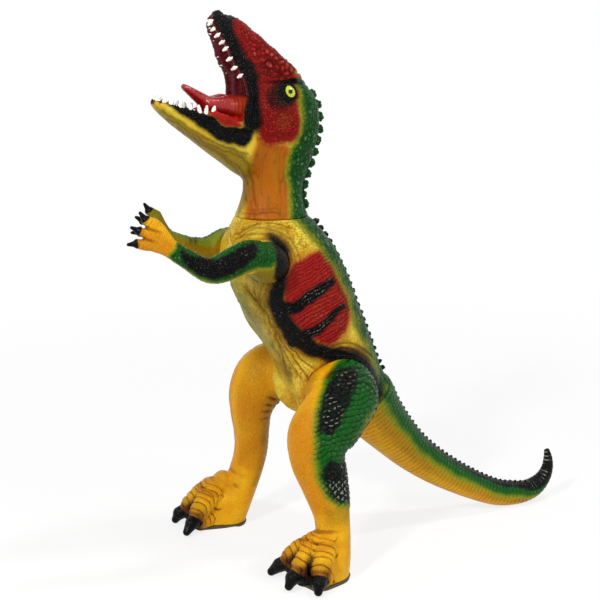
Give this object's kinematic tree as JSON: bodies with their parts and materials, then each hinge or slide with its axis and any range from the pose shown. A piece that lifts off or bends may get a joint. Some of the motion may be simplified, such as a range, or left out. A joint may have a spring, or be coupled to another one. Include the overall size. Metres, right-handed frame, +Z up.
{
  "type": "toy dinosaur figure",
  "caption": "Large hollow soft-vinyl figure of a walking two-legged dinosaur, mouth open, with turning head, arms, legs and tail.",
  "frame": {"origin": "on the floor, below the middle of the object's bounding box", "axes": "+Z up, the figure faces -Y, and +X is the figure's left"},
  "size_m": [0.2206, 0.425, 0.451],
  "materials": {
    "body_vinyl": "glossy soft vinyl, sprayed yellow, green, red and black",
    "head_vinyl": "glossy soft vinyl, sprayed red, orange, yellow, green and black",
    "limb_vinyl": "glossy soft vinyl, sprayed orange-yellow, green and black",
    "tail_vinyl": "glossy soft vinyl, green-black above and orange-yellow below",
    "tongue_vinyl": "glossy red soft vinyl",
    "tooth_plastic": "white, satin",
    "eye_plastic": "yellow-green with a dark pupil, glossy",
    "sole_pad": "matt grey-green",
    "connector_plastic": "uncoloured, matt"
  },
  "bodies": {
    "torso": {"body_shell": "body_vinyl"},
    "head": {"head_shell": "head_vinyl", "tongue": "tongue_vinyl", "upper_teeth": "tooth_plastic", "lower_teeth": "tooth_plastic", "eye_left": "eye_plastic", "eye_right": "eye_plastic", "neck_connector": "connector_plastic"},
    "arm_left": {"arm_shell_left": "limb_vinyl", "shoulder_connector_left": "connector_plastic"},
    "arm_right": {"arm_shell_right": "limb_vinyl", "shoulder_connector_right": "connector_plastic"},
    "leg_left": {"leg_shell_left": "limb_vinyl", "foot_sole_left": "sole_pad", "hip_connector_left": "connector_plastic"},
    "leg_right": {"leg_shell_right": "limb_vinyl", "foot_sole_right": "sole_pad", "hip_connector_right": "connector_plastic"},
    "tail": {"tail_shell": "tail_vinyl", "tail_connector": "connector_plastic"}
  },
  "joints": [
    {"name": "neck_swivel", "type": "hinge", "parent": "torso", "child": "head", "pos_m": [-0.0039, -0.07463, 0.29015], "axis": [0, 0, 1], "continuous": true},
    {"name": "shoulder_left", "type": "hinge", "parent": "torso", "child": "arm_left", "pos_m": [0.03029, -0.09437, 0.25826], "axis": [1, 0, 0], "range_deg": [-40, 45]},
    {"name": "shoulder_right", "type": "hinge", "parent": "torso", "child": "arm_right", "pos_m": [-0.03809, -0.09437, 0.25826], "axis": [1, 0, 0], "range_deg": [-40, 45]},
    {"name": "hip_left", "type": "hinge", "parent": "torso", "child": "leg_left", "pos_m": [0.02937, -0.02951, 0.14234], "axis": [1, 0, 0], "range_deg": [-60, 90]},
    {"name": "hip_right", "type": "hinge", "parent": "torso", "child": "leg_right", "pos_m": [-0.03717, -0.02951, 0.14234], "axis": [1, 0, 0], "range_deg": [-60, 90]},
    {"name": "tail_swivel", "type": "hinge", "parent": "torso", "child": "tail", "pos_m": [-0.0039, 0.01195, 0.12429], "axis": [0, 0.6691, -0.7431], "continuous": true}
  ]
}
